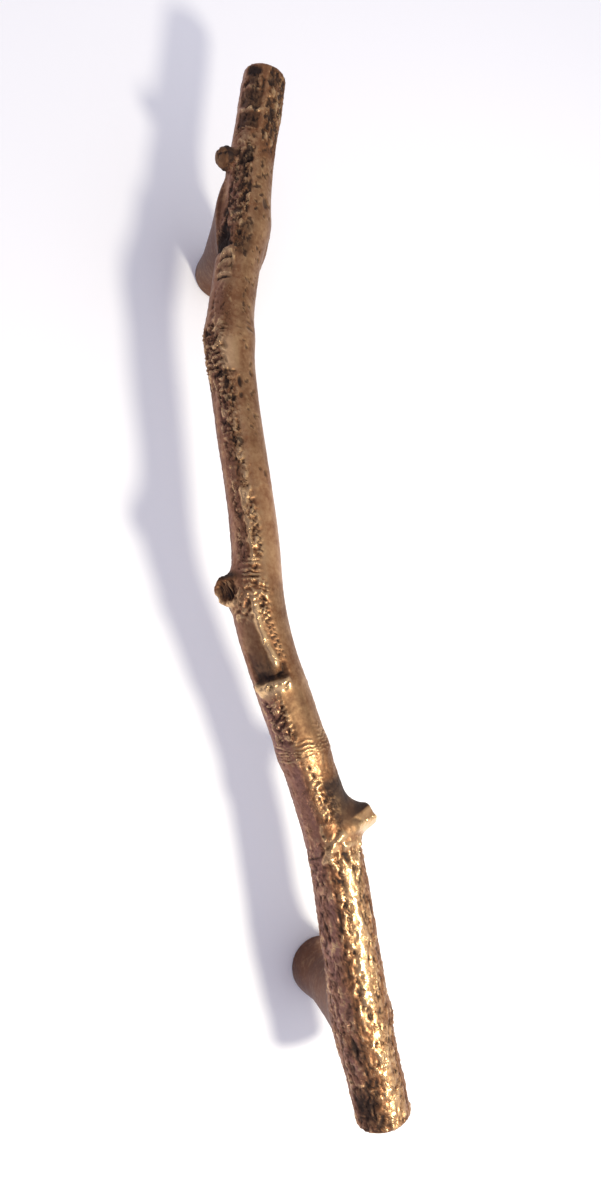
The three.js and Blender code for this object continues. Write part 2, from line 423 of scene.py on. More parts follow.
def creased_face(stub, points, away, on_face):
    """A healed bud: a low dome in a dark collar, with creases that are bells of the distance from
    two rays out of a point off its middle."""
    across, upward = face_directions(stub)
    out = points - stub.tip - 1.2 * upward
    grain = noise(points, 1.6, 71)
    creases = 0.0
    for degrees in (350.0, 100.0):
        turn = math.radians(degrees)
        ray = math.cos(turn) * across + math.sin(turn) * upward
        ahead = out @ ray
        beside = np.linalg.norm(out - ahead[..., None] * ray, axis=-1) + 0.9 * grain
        creases = np.maximum(creases, bell(beside / 0.7) * smooth_step(-0.6, 0.6, ahead))
    dome = 1.4 * smooth_step(6.0, 0.5, away)
    height = on_face * (dome - 0.5 * creases) + 0.25 * grain + (1.0 - on_face) * 0.35 * grain
    hollow = on_face * (0.50 + 0.45 * creases - 0.15 * grain) + (1.0 - on_face) * (0.92 + 0.3 * grain)
    return height, np.clip(hollow, 0.0, 1.0), 0.10 * on_face


FACES = {"side_twig": twig_face, "middle_knot": dished_face, "end_knot": creased_face}

GROWTHS = {name: Post(sizes) for name, sizes in POSTS.items()}
GROWTHS.update({name: Stub(name, sizes) for name, sizes in STUBS.items()})

# ---- Bark ---------------------------------------------------------------------------------------
# Places on the grip are given by the distance along it from the thick end, in millimetres, and the
# angle round it in degrees: 0 on top, positive towards +X.

# Swellings that the CAD solids have too: along, round (None: all the way round), half-length,
# half-width, height.
SWELLINGS = (
    (45.5, 78, 5, 6, 1.3),
    (117, -72, 5, 5, 1.6),
    (166, None, 6, 0, 0.8),
    (194, -34, 4, 8, 0.6),
    (236, -72, 13, 10, 1.5),
    (349, None, 7, 0, 0.7),
    (346, -14, 10, 11, 0.8),
    (403, 80, 9, 9, 1.3),
    (437, -60, 8, 8, 0.9),
)

# How rough the bark is: along from, to, round from, to, softness along, share (1 is full bark).
ROUGH_ZONES = (
    (-10, 128, -200, 200, 8, 1.0),
    (128, 172, -125, -22, 8, 0.7),
    (134, 152, -12, 60, 4, 0.9),
    (172, 193, -80, -24, 3, 1.0),
    (198, 232, -125, -35, 5, 0.45),
    (228, 241, -100, 8, 3, 0.7),
    (246, 330, -62, -12, 5, 1.3),
    (322, 350, -100, -24, 3, 1.3),
    (348, 370, -70, -12, 4, 0.8),
    (386, 404, -110, -12, 3, 1.2),
    (398, 436, -75, -6, 4, 1.3),
    (434, 480, -75, -4, 3, 0.7),
    (432, 480, 4, 75, 4, 1.1),
)
PLAIN_ROUGHNESS = 0.42

# Places that hands have rubbed smooth: the same, and share is how much of the bark is gone.
SMOOTH_ZONES = (
    (132, 148, 18, 80, 3, 0.92),
    (170, 199, -22, 75, 5, 0.92),
    (199, 238, 10, 85, 5, 0.70),
    (203, 226, -70, -26, 5, 0.85),
    (238, 281, 0, 80, 4, 0.94),
    (331, 344, -30, 8, 2, 0.90),
    (281, 430, 0, 85, 6, 0.75),
    (60, 118, -6, 14, 6, 0.60),
)

# Where the bark is curled up into short winding ridges: the same, and share is how high they are.
CURLED_ZONES = (
    (173, 192, -66, -20, 2, 1.0),
    (134, 156, -22, 6, 3, 0.6),
    (225, 241, -75, 6, 3, 0.8),
    (249, 277, -20, 0, 3, 0.6),
    (279, 297, -32, -14, 3, 0.7),
    (298, 330, -62, -14, 4, 0.5),
    (330, 352, -95, -24, 3, 0.8),
    (371, 386, -66, -22, 2, 0.2),
    (404, 434, -60, -14, 3, 0.30),
    (426, 440, -52, -8, 2, 0.5),
)

# Where the metal is rubbed bright and where highlights are painted on it: the same, and share is how
# bright.
RUBBED_AND_HIGHLIGHT_ZONES = (
    (2, 48, 0, 42, 5, 0.60),
    (48, 120, -16, 36, 6, 0.75),
    (150, 172, -24, 8, 4, 0.25),
    (194, 200, -60, 8, 2, 0.90),
    (238, 262, -14, 10, 6, 0.30),
    (262, 330, -30, -6, 8, 0.30),
    (331, 345, -32, 4, 3, 0.60),
    (371, 388, -60, -24, 3, 0.50),
    (404, 440, -34, -4, 6, 0.30),
    (436, 441, -50, -4, 1, 0.50),
)

# Where the bark has flaked off in small dark scabs: the same, and share is how much is gone.
SCAB_ZONES = (
    (2, 22, -78, -16, 3, 0.9),
    (26, 60, -70, -34, 4, 0.30),
    (86, 116, 18, 60, 6, 0.22),
    (132, 150, -8, 30, 4, 0.25),
    (243, 282, -64, -34, 5, 0.26),
    (293, 331, -48, -12, 3, 0.50),
    (300, 350, 5, 50, 6, 0.24),
    (352, 400, 12, 60, 8, 0.27),
    (384, 400, -110, -56, 3, 0.6),
    (383, 402, -26, 12, 3, 0.55),
    (398, 436, -72, -8, 4, 0.80),
    (402, 432, -4, 60, 5, 0.30),
    (444, 470, -66, -8, 2, 0.55),
    (440, 474, 2, 75, 3, 0.80),
)

# Where the patina lies thin and brown over everything, and painted shade in the crotch above the side
# twig: the same, and share is how dark.
TONE_AND_SHADE_ZONES = (
    (133, 240, 6, 190, 6, 0.32),
    (288, 480, 6, 190, 8, 0.28),
    (172, 194, -22, 30, 4, 0.52),
    (132, 480, -190, -90, 8, 0.30),
    # Painted shade: the crotch above the side twig.
    (130, 153, 0, 85, 4, 0.95),
)

# Lines of growth that run round: along, lines, pitch, round from, to, height.
RINGS = (
    (168.5, 5, 1.7, -100, 66, 0.42),
    (174.5, 4, 2.0, 22, 80, 0.30),
    (245.5, 5, 2.0, -48, -10, 0.75),
    (337.0, 5, 2.6, -95, -28, 0.50),
    (346.5, 4, 1.6, -70, -14, 0.25),
    (349.6, 1, 1.4, -30, 75, -0.35),
    (280.2, 1, 1.0, -4, 85, 0.22),
    (330.0, 1, 1.6, -70, -4, -0.65),
    (120.6, 1, 1.4, -110, -38, -0.55),
    (442.6, 2, 1.7, -75, 12, 0.50),
    (446.0, 1, 1.1, -55, -4, 0.40),
    (452.2, 1, 1.3, -68, 2, 0.65),
    (462.0, 1, 1.1, -46, -18, 0.50),
    (433.4, 1, 1.2, -55, -10, 0.45),
)

# Zigzag tracks that a grub left: along from, to, round from, to, waves, half-width.
SQUIGGLES = (
    (207, 234, 11, -7, 11, 1.2),
    (92, 116, -12, -14, 12, 0.5),
    (252, 272, -4, -12, 7, 0.8),
)

# Crests (height above 0) and cracks (below 0): height, half-width, then (along, round) points.
LINES = (
    (1.25, 1.3, (206, -8), (212, -14), (221, -21), (234, -24)),
    (-1.30, 1.1, (200.8, -10), (202.2, 2), (205.2, 7)),
    (0.80, 0.9, (249, -24), (264, -26), (279, -33)),
    (0.60, 0.8, (272, -29), (280, -14)),
    (1.60, 1.9, (120, -36), (124, -24), (127, -10), (129, 4)),
    (-1.10, 0.8, (121.5, -46), (125, -26), (128.5, -8), (131, 4)),
    (-1.10, 1.2, (119, 3), (115, 14), (112, 20)),
    (0.90, 1.2, (112, 28), (119, 40), (124, 58)),
    (0.90, 1.5, (124, 12), (123, 34), (121, 56)),
    (-0.90, 0.8, (30, -58), (26, -45), (21, -33)),
    (-0.70, 0.6, (55.5, -41), (54.5, -23)),
    (-0.90, 1.0, (43, -49), (38, -44), (32, -41)),
    (-0.32, 0.8, (20, -30), (60, -29), (120, -32)),
    (-0.80, 0.8, (97, -80), (90, -68), (83, -58)),
    (0.55, 2.0, (3, 5), (18, 8), (33, 10)),
    (0.45, 2.2, (58, 4), (85, 8), (116, 6)),
    (0.80, 0.5, (373.6, -60), (374.8, -42), (374.2, -26)),
    (0.90, 0.5, (378.2, -62), (380.6, -46), (381.0, -28)),
    (0.90, 0.5, (382.6, -60), (385.4, -48), (385.2, -34), (381.6, -24)),
    (0.70, 0.4, (377.0, -26), (379.4, -20), (382.4, -22)),
    (-0.80, 0.9, (376.2, -60), (377.6, -42), (377.8, -24)),
    (-0.80, 0.8, (380.8, -58), (382.6, -44), (382.4, -32)),
    (-0.60, 0.6, (383.6, -30), (380.0, -25), (375.8, -22)),
    (0.70, 0.8, (135.0, -28), (131.4, -31), (128.4, -27)),
    (0.50, 0.7, (232, -58), (235, -42), (236.5, -20), (235, 0)),
    (0.50, 0.7, (229, -50), (231, -32), (232.5, -12)),
    (-0.60, 0.6, (234, -54), (238, -34), (239, -14)),
    (-0.90, 0.6, (196.6, -40), (198.2, -33), (196.0, -26), (198.0, -17), (195.6, -8), (197.4, 3)),
    (-0.70, 0.7, (388.4, -60), (389.2, -46), (388.6, -30)),
    (-0.70, 0.7, (372.2, -60), (373.0, -42), (372.4, -26)),
    (-0.70, 0.7, (466, -12), (462, -8), (457, -9)),
    (-0.80, 0.9, (433, 6), (436, 24), (439, 44)),
)

# Pits: along, round, half-length, half-width, depth, how dark.
PITS = (
    (390.5, -76, 6.0, 6.4, 2.4, 1.0),
    (398.0, -72, 3.6, 2.6, 1.2, 1.0),
    (406.0, -78, 2.4, 1.8, 0.8, 0.9),
    (394.2, -20, 1.5, 1.3, 0.8, 0.9),
    (325.6, -33, 3.2, 1.0, 0.9, 0.9),
    (325.2, 2, 2.8, 0.9, 0.8, 0.9),
    (319.5, 1, 1.4, 0.8, 0.5, 0.8),
    (429.6, -20, 2.0, 1.6, 0.8, 0.9),
    (469.5, -40, 2.6, 3.4, 0.6, 1.0),
    (422.0, 9, 1.0, 1.4, 0.5, 0.7),
    (417.0, -1, 1.0, 1.3, 0.5, 0.7),
    (411.0, 36, 2.4, 1.8, 0.6, 0.8),
    (130.4, -30, 0.9, 0.8, 0.7, 0.9),
    (160.6, -15, 1.1, 0.8, 0.6, 0.8),
    (157.0, -11, 1.2, 0.7, 0.6, 0.8),
    (353.0, 33, 0.6, 1.3, 0.4, 0.6),
    (361.2, 33, 0.6, 0.9, 0.4, 0.6),
    (373.2, 22, 0.7, 1.3, 0.4, 0.6),
    (287.4, 22, 1.0, 0.7, 0.35, 0.6),
    (285.4, 38, 1.4, 0.8, 0.35, 0.6),
    (350.0, 36, 0.6, 2.6, 0.45, 0.8),
    (12.0, -48, 8.5, 7.0, 0.9, 0.50),
    (38.0, -45, 5.0, 1.6, 0.7, 0.8),
    (452.0, 26, 3.2, 1.8, 0.6, 0.8),
    (467.0, 14, 3.2, 2.6, 0.5, 0.6),
    (448.0, 44, 2.6, 2.0, 0.5, 0.8),
    (391.0, -2, 7.6, 3.2, 0.35, 0.35),
)

# Plates of bark that broke off square: along from, to, round from, to, depth, how dark.
PLATES = (
    (443.9, 450.8, -66, -8, 0.45, 0.66),
    (453.4, 460.8, -66, -10, 0.45, 0.64),
    (463.2, 467.4, -50, -26, 0.35, 0.70),
    (426.8, 431.8, -46, -32, 0.35, 0.80),
    (384.6, 400.0, -17, 9, 0.20, 0.52),
)

# Where the side shoot was torn off: the lip ends and the hollow starts, and round from, to.
TORN_AT = 200.2
TORN_FROM = -72
TORN_TO = 8


def turn_from(angle, degrees):
    """The angle from a direction in degrees, in radians, from -pi to pi."""
    turn = angle - math.radians(degrees)
    return np.arctan2(np.sin(turn), np.cos(turn))


def round_window(angle, start, stop, soft=8.0):
    """1 between two directions in degrees and 0 away from them: a smooth step, soft degrees either
    side of the edge, of the angle from the middle direction."""
    middle = (start + stop) / 2
    away = np.degrees(np.abs(turn_from(angle, middle)))
    half = (stop - start) / 2
    return smooth_step(half + soft, max(half - soft, 0.0), away)


def line_distance(along, angle, radius, corners):
    """Distance over the skin from each place to a line through its (along, round) corners, on the
    skin laid flat: the smallest of the distances to the straight steps between them."""
    nearest = np.full(along.shape, 99.0)
    for (s0, a0), (s1, a1) in zip(corners, corners[1:]):
        step = np.array([s1 - s0, math.radians(a1 - a0) * MIDDLING_RADIUS])
        ahead = along - s0
        across = turn_from(angle, a0) * radius
        share = np.clip((ahead * step[0] + across * step[1]) / (step @ step), 0.0, 1.0)
        away = np.hypot(ahead - share * step[0], across - share * step[1])
        nearest = np.minimum(nearest, away)
    return nearest


def zone_share(zones, along, angle, elsewhere):
    """The largest share that any zone gives to each place: a window along times a window round."""
    total = np.full(along.shape, elsewhere)
    for start, stop, low, high, soft, share in zones:
        zone = window(along, start, stop, soft)
        if high - low < 360:
            zone = zone * round_window(angle, low, high)
        total = np.maximum(total, share * zone)
    return total


def mauve_side(along, angle, skin):
    """Where the patina is left thin and reddish, and where a painted reflection of the lavender
    surroundings lies: the left side, most of all towards the thick end.
    """
    left = smooth_step(-24.0, -46.0, np.degrees(angle)) * smooth_step(-175.0, -120.0, np.degrees(angle))
    red = smooth_step(-22.0, -30.0, np.degrees(angle)) * window(along, 173.0, 190.0, 4.0) * left
    share = 0.55 + 0.45 * window(along, 20.0, 190.0, 20.0)
    blotch = noise(skin, (5.0, 5.0, 14.0), 31)
    return np.clip(left * share * (0.75 + 0.6 * blotch) + 0.3 * red, 0.0, 1.0)


def swelling(along, angle, radius):
    """The sum of the swellings: the height of each times a bell of the distance along and a bell of
    the distance round."""
    total = np.zeros(along.shape)
    for at, direction, half_long, half_wide, high in SWELLINGS:
        share = bell((along - at) / half_long)
        if direction is not None:
            share = share * bell(2.0 * radius * np.sin(turn_from(angle, direction) / 2) / half_wide)
        total = total + high * share
    return total


def growth_marks(along, angle, radius, wander, broken):
    """Height, darkness and shine of the marks that have a place of their own.

    Rings are a cosine of the distance along, or one bell. Crests and cracks are bells of the distance
    from a line, zigzags a sine with a soft step across it, pits a smooth step of the distance from an
    ellipse's middle, and broken plates a window along times a window round. Wander, from -1 to 1,
    shifts them, and broken, from 0 to 1, weakens them here and there.
    """
    height = np.zeros(along.shape)
    dark = np.zeros(along.shape)
    shine = np.zeros(along.shape)
    for at, lines, pitch, low, high, size in RINGS:
        place = along - at + 1.3 * wander
        half = lines * pitch / 2
        if lines == 1:
            wave = bell(place / (0.45 * pitch))
        else:
            wave = np.cos(2.0 * math.pi * place / pitch) * window(place, -half, half, pitch / 3)
        wave = math.copysign(1.0, size) * wave * round_window(angle, low, high) * broken
        height = height + abs(size) * wave
        dark = np.maximum(dark, min(1.0, 1.6 * abs(size)) * smooth_step(-0.25, -0.9, wave))
        shine = np.maximum(shine, min(1.0, 1.6 * abs(size)) * smooth_step(0.2, 0.9, wave))
    for size, half_wide, *corners in LINES:
        away = line_distance(along, angle, radius, corners) + (0.2 + 0.3 * half_wide) * wander
        mark = bell(away / half_wide)
        if size < 0.0:
            mark = mark * broken
            dark = np.maximum(dark, smooth_step(0.3, 0.95, mark))
        else:
            gleam = min(1.0, size) * min(1.0, 1.1 / half_wide)
            shine = np.maximum(shine, gleam * mark * np.minimum(1.0, 0.3 + broken))
            mark = mark * (0.65 + 0.5 * broken)
        height = height + size * mark
    for start, stop, low, high, waves, half_wide in SQUIGGLES:
        share = np.clip((along - start) / (stop - start), 0.0, 1.0)
        middle = low + (high - low) * share
        swing = half_wide * np.sin(2.0 * math.pi * waves * share + 2.4 * wander)
        across = turn_from(angle, 0.0) * radius - np.radians(middle) * radius
        inside = window(along, start, stop, 1.0)
        mark = smooth_step(0.65, 0.2, np.abs(across - swing)) * inside
        ridge = bell((np.abs(across - swing) - 1.0) / 0.5) * inside
        height = height - 0.32 * mark + 0.08 * ridge
        dark = np.maximum(dark, 0.95 * mark)
    for at, direction, half_long, half_wide, depth, shade in PITS:
        across = turn_from(angle, direction) * radius
        away = np.hypot((along - at) / half_long, across / half_wide) + 0.35 * wander
        mark = smooth_step(1.15, 0.45, away)
        height = height - depth * mark
        dark = np.maximum(dark, shade * smooth_step(1.2, 0.7, away))
    for start, stop, low, high, depth, shade in PLATES:
        edge = 0.5 * wander
        inside = window(along + edge, start, stop, 0.5)
        inside = inside * round_window(angle + edge / radius, low, high, 3.0)
        rim = 4.0 * inside * (1.0 - inside)
        height = height - depth * inside
        dark = np.maximum(dark, shade * np.maximum(inside * (0.75 + 0.35 * broken), 1.1 * rim))
    return height, dark, shine


def torn_shoot(along, angle, wander, lumps):
    """Height, darkness and shine where a side shoot was torn off: the skin rises by a step and a
    bell to a rolled lip, drops sharply from it and comes up again towards the thin end as e to the
    power of minus the distance. The darkness is patina in the crack and painted shade fading from it
    over the hollow, deepest on the left side; the shine is a painted highlight on the lip."""
    place = along - TORN_AT + 0.7 * wander
    sector = round_window(angle, TORN_FROM, TORN_TO, 5.0)
    inner = round_window(angle, TORN_FROM + 2, TORN_TO + 2, 6.0)
    lip = 0.5 * smooth_step(-6.0, -2.0, place) + (1.5 + 0.35 * lumps) * bell((place + 2.1) / 2.2)
    lip = lip * smooth_step(0.5, -0.5, place)
    hollow = smooth_step(-0.3, 0.6, place) * np.exp(-np.maximum(place, 0.0) / 6.5)
    # Painted shade over the hollow below the lip, with patina darkest in the crack.
    shade = smooth_step(-0.3, 0.4, place) * np.exp(-(np.maximum(place - 0.8, 0.0) / 13.0) ** 1.5)
    left = 0.35 + 0.65 * round_window(angle, TORN_FROM - 10, -18, 8.0)
    deepest = bell((place - 0.5) / 1.0)
    shade = np.maximum(shade * left, deepest) ** 0.7
    shade = shade * (0.9 + 0.35 * lumps)
    # Painted highlight on the lip.
    shine = smooth_step(-6.5, -5.0, place) * smooth_step(0.2, -0.4, place) * sector
    return lip * sector - 2.0 * hollow * inner, shade * inner, shine


def bark(along, angle, radius):
    """Height, hollow and rub of the bark.

    Height adds slow swells, furrows and crinkles where a noise crosses 0, lumps, beads and strewn
    pits, all scaled by how rough the place is, scabs where a noise passes a level, and the growth
    marks. Hollow, how dark the patina and the painted shade lie, is the largest of what each of them
    darkens, and rub, how bright the metal is from wear and from painted highlights, the largest of
    what each brightens.
    """
    skin = np.stack([radius * np.sin(angle), radius * np.cos(angle), along], -1)
    wander = noise(skin, (3.6, 3.6, 4.4), 3)
    bent = skin + 1.1 * wander[..., None]
    rough = zone_share(ROUGH_ZONES, along, angle, PLAIN_ROUGHNESS)
    smooth = zone_share(SMOOTH_ZONES, along, angle, 0.0)
    patchy = 0.5 + 0.5 * noise(skin, (9.0, 9.0, 22.0), 4)
    rough = rough * (1.0 - smooth) * (0.65 + 0.55 * patchy)
    broken = np.clip(0.75 + 0.7 * noise(skin, (2.6, 2.6, 3.6), 12), 0.0, 1.0)

    slow = 0.35 * noise(skin, (10.0, 10.0, 26.0), 5)
    furrow = 1.0 - 2.2 * np.abs(noise(bent, (2.2, 2.2, 11.0), 6))
    crinkle = 1.0 - 2.6 * np.abs(noise(bent, (1.5, 1.5, 3.4), 11))
    plates = noise(bent, (1.8, 1.8, 5.0), 7)
    lumps = noise(skin, (1.4, 1.4, 2.0), 8)
    bead = smooth_step(0.25, 0.70, noise(skin, (1.7, 1.7, 2.1), 15))
    stirred = skin / np.array([2.1, 2.1, 1.9]) + 0.5 * wander[..., None]
    worm = 1.0 - 2.6 * np.abs(noise(stirred, 1.0, 16))
    cell, own = scattered(bent, (2.0, 2.0, 2.8), 10)
    pit = smooth_step(0.45, 0.2, cell) * (own < 0.5)

    thick = smooth_step(150.0, 110.0, along)
    fine = -0.42 * (0.5 + 0.5 * thick) * smooth_step(0.3, 1.0, furrow)
    fine = fine - 0.30 * smooth_step(0.2, 1.0, crinkle)
    fine = fine + (0.28 + 0.10 * thick) * plates + 0.20 * lumps + 0.28 * bead
    fine = fine - 0.36 * pit + 0.10 + 0.05 * thick

    gone = zone_share(SCAB_ZONES, along, angle, 0.0)
    flakes = noise(bent, (2.4, 2.4, 3.2), 13) + 0.5 * noise(bent, (1.1, 1.1, 1.4), 14)
    flakes = flakes - 0.62 + 0.8 * gone
    scab = smooth_step(0.0, 0.14, flakes) * smooth_step(0.05, 0.3, gone)
    scab_rim = smooth_step(-0.26, -0.05, flakes) * smooth_step(0.05, 0.4, gone) * (1.0 - scab)

    curled = zone_share(CURLED_ZONES, along, angle, 0.0)
    curls = curled * (1.15 * np.clip(worm, -0.35, 1.0) - 0.30)

    marks, dark, shine = growth_marks(along, angle, radius, wander, broken)
    torn, torn_shade, torn_shine = torn_shoot(along, angle, wander, lumps)
    height = slow + swelling(along, angle, radius) + rough * fine + curls + marks + torn
    height = height - 0.48 * scab + 0.12 * scab_rim
    relief = rough * fine + 0.8 * curls + 0.6 * marks
    hollow = smooth_step(-0.12, -0.60, relief)
    # Brown patina tone, with painted shade in the crotch above the side twig.
    tone_and_shade = zone_share(TONE_AND_SHADE_ZONES, along, angle, 0.0) * (0.8 + 0.4 * patchy)
    polished = 1.0 - 0.85 * np.clip(1.6 * shine, 0.0, 1.0)
    tone_and_shade = tone_and_shade * (1.0 - 0.5 * scab_rim)
    shades = [hollow * polished, dark, torn_shade * polished, 0.88 * scab, tone_and_shade * polished]
    hollow = np.maximum.reduce(shades)
    crest = smooth_step(0.03, 0.38, relief)
    mauve = mauve_side(along, angle, skin)
    worn = 0.22 * (1.0 - smooth_step(0.1, 0.7, rough)) * (1.0 - mauve)
    # Gold from wear and from painted highlights.
    worn = worn + 0.55 * zone_share(RUBBED_AND_HIGHLIGHT_ZONES, along, angle, 0.0)
    rub = np.maximum.reduce([0.75 * crest + 0.25 * scab_rim + worn, 0.95 * shine, torn_shine])
    hollow = hollow * (1.0 - 0.35 * mauve * (1.0 - np.maximum(dark, torn_shade)))
    return height, np.clip(hollow, 0.0, 1.0), np.clip(rub, 0.0, 1.0)


# ---- Charts of the casting's skin ---------------------------------------------------------------
# Grip and growths share one smooth skin. Each piece covers its own side of it and dives a little
# under its neighbour's where the skin stands half of SHARED_RISE proud of the plain grip.

SHARED_RISE = 3.0
DIVE = 0.35

# Round the grip and round a post's waist: divided by a spacing, the number of columns.
GRIP_GIRTH = 74.0
GROWTH_GIRTH = 75.0

GROWTH_ROWS = 0.8  # of its columns

# How many times a place on a ray is halved in to find the skin.
GRIP_HALVINGS = 14
GROWTH_HALVINGS = 12


def skin_distance(points, grip_distance):
    """Distance outside grip and growths together: the smallest of their distances, with each joint
    rounded off by the growth's own blend."""
    total = grip_distance
    for growth in GROWTHS.values():
        total = smooth_min(total, growth.distance(points), growth.blend)
    return total


def first_crossing(origin, direction, reach, samples=40):
    """How far along each ray from inside the casting its skin lies, or the ray's whole reach.
    The ray is searched in even steps, and the first step that leaves is halved again and again."""

    def leaves(far):
        """Whether the rays are outside the skin that far along."""
        points = origin + far[..., None] * direction
        _, _, out, radius = LIMB.locate(points)
        return skin_distance(points, out - radius) > 0.0

    inside = np.zeros(origin.shape[:-1])
    outside = np.full(origin.shape[:-1], reach)
    found = np.zeros(origin.shape[:-1], bool)
    for number in range(1, samples + 1):
        far = np.full(origin.shape[:-1], reach * number / samples)
        first = leaves(far) & ~found
        inside = np.where(first, reach * (number - 1) / samples, inside)
        outside = np.where(first, far, outside)
        found |= first
    for _ in range(GROWTH_HALVINGS):
        middle = (inside + outside) / 2
        beyond = leaves(middle)
        outside = np.where(found & beyond, middle, outside)
        inside = np.where(found & ~beyond, middle, inside)
    return outside


def turns(columns):
    """Angles all the way round for the columns of a closed grid, as one row."""
    return np.linspace(-math.pi, math.pi, columns, endpoint=False)[None, :]


def grid_normals(points):
    """Outward unit normals of a grid that closes on itself round its second direction."""
    rows = np.gradient(points, axis=0)
    columns = np.roll(points, -1, axis=1) - np.roll(points, 1, axis=1)
    normals = np.cross(columns, rows)
    return normals / np.maximum(np.linalg.norm(normals, axis=-1, keepdims=True), 1e-9)


def dress(points, own_growth, relief):
    """Moves a chart's smooth points out along its normals by the relief, and gives the attributes
    that go with them.

    The bark's share falls to 0 in a smooth step of how far the skin stands proud of the plain grip,
    and the growth near the place takes the rest. On a sawn face, where a point lies nearer to the
    centre line than the grip's radius, there are only faint saw waves.
    """
    along, angle, out, radius = LIMB.locate(points)
    rise = out - radius
    height, hollow, rub = bark(along, angle, radius)
    roughness = zone_share(ROUGH_ZONES, along, angle, PLAIN_ROUGHNESS)
    roughness = roughness * (1.0 - zone_share(SMOOTH_ZONES, along, angle, 0.0))
    end_face = smooth_step(0.985, 0.90, out / radius)
    bark_share = (1.0 - smooth_step(0.2, SHARED_RISE, rise)) * (1.0 - end_face)
    sawn = 0.10 * noise(points, (3.0, 8.0, 3.0), 21)
    height = height * bark_share + sawn * end_face
    hollow = hollow * bark_share + 0.15 * end_face
    rub = rub * bark_share + 0.35 * end_face
    for growth in GROWTHS.values():
        near = smooth_step(SHARED_RISE, 0.0, growth.distance(points)) * (1.0 - end_face)
        own_height, own_hollow, own_wear_and_highlight = growth.relief(points)
        share = near * (1.0 - bark_share)
        height = height + share * own_height
        hollow = hollow + share * own_hollow
        rub = rub + share * own_wear_and_highlight
    proud = rise / SHARED_RISE
    beyond = proud - 0.5 if own_growth is None else 0.5 - proud
    dive = DIVE * np.clip(2.0 * beyond, 0.0, 1.0)
    moved = points + grid_normals(points) * (relief * height - dive)[..., None]
    skin = np.stack([out * np.sin(angle), out * np.cos(angle), along], -1)
    layers = {
        # Darkness from patina and painted shade, and brightness from wear and painted highlights.
        "hollow": np.clip(hollow, 0.0, 1.0),
        "rub": np.clip(rub, 0.0, 1.0),
        "bark": bark_share * roughness,
        "mauve": bark_share * mauve_side(along, angle, skin),
        "skin": skin * MM,
    }
    return moved, layers


def place(name, data):
    """An object of its own for a mesh, lamp or camera, in the scene."""
    item = bpy.data.objects.new(name, data)
    bpy.context.scene.collection.objects.link(item)
    return item


def make_piece(name, points, layers):
    """A closed mesh from a grid that is open at its first and last rows, each of which is closed by
    a fan to its own middle."""
    rows, columns = points.shape[:2]
    poles = np.stack([points[0].mean(0), points[-1].mean(0)])
    vertices = np.vstack([points.reshape(-1, 3), poles]) * MM + FEET_MIDDLE
    here = np.arange(columns)
    beside = np.roll(here, -1)
    row = columns * np.arange(rows - 1)[:, None]
    quads = np.stack([row + here, row + columns + here, row + columns + beside, row + beside], -1)
    first = np.stack([np.full(columns, rows * columns), here, beside], -1)
    last_row = columns * (rows - 1)
    last = np.stack([np.full(columns, rows * columns + 1), last_row + beside, last_row + here], -1)
    faces = quads.reshape(-1, 4)[:, ::-1].tolist() + first[:, ::-1].tolist() + last[:, ::-1].tolist()
    mesh = bpy.data.meshes.new(name)
    mesh.from_pydata(vertices.tolist(), [], faces)
    for label, values in layers.items():
        kind, field = ("FLOAT_VECTOR", "vector") if values.ndim == 3 else ("FLOAT", "value")
        layer = mesh.attributes.new(label, kind, "POINT")
        ends = [values[0].mean(0), values[-1].mean(0)]
        flat = np.concatenate([values.reshape(rows * columns, -1), np.reshape(ends, (2, -1))])
        layer.data.foreach_set(field, flat.ravel().astype(np.float32))
    mesh.shade_smooth()
    return place(name, mesh)


# Rows over a rounded rim and over a sawn face, and how near to its middle the face's rows run.
RIM_ROWS = 7
FACE_ROWS = 14
POLE_SHARE = 0.12


def grip_chart(rows, columns):
    """The grip: rays square to the centre line, from its plain radius out to the shared skin, which
    is found by halving. The end rows run in over the rims, which are quarter circles, and the sawn
    faces."""
    turn = np.radians(np.linspace(90.0, 0.0, RIM_ROWS))
    rim_share = 1.0 - END_ROUND / MIDDLING_RADIUS * (1.0 - np.cos(turn))
    rim_along = END_ROUND * (1.0 - np.sin(turn))
    face_share = np.linspace(POLE_SHARE, rim_share[0], FACE_ROWS, endpoint=False)
    share = np.concatenate([face_share, rim_share])
    along = np.concatenate([np.zeros(FACE_ROWS), rim_along])
    body = np.linspace(END_ROUND, LIMB.length - END_ROUND, rows)[1:-1]
    shares = np.concatenate([share, np.ones(rows - 2), share[::-1]])[:, None]
    alongs = np.concatenate([along, body, LIMB.length - along[::-1]])[:, None]
    alongs, angle = np.broadcast_arrays(alongs, turns(columns))
    centre, _, side, up, radius = LIMB.at(alongs)
    direction = np.cos(angle)[..., None] * up + np.sin(angle)[..., None] * side
    low = np.zeros(alongs.shape)
    high = np.full(alongs.shape, 1.3 * SHARED_RISE)
    for _ in range(GRIP_HALVINGS):
        middle = (low + high) / 2
        points = centre + (radius + middle)[..., None] * direction
        beyond = skin_distance(points, middle) > 0.0
        high = np.where(beyond, middle, high)
        low = np.where(beyond, low, middle)
    reach = (radius + low * (shares == 1.0)) * shares
    return centre + reach[..., None] * direction


# A post's fan of rays starts at this share of its rise and climbs to this angle.
POST_FAN_SHARE = 0.55
POST_FAN_CLIMB = 74.0
POST_REACH = 40.0
HOLE_ROWS = 14
FOOT_ROWS = 12


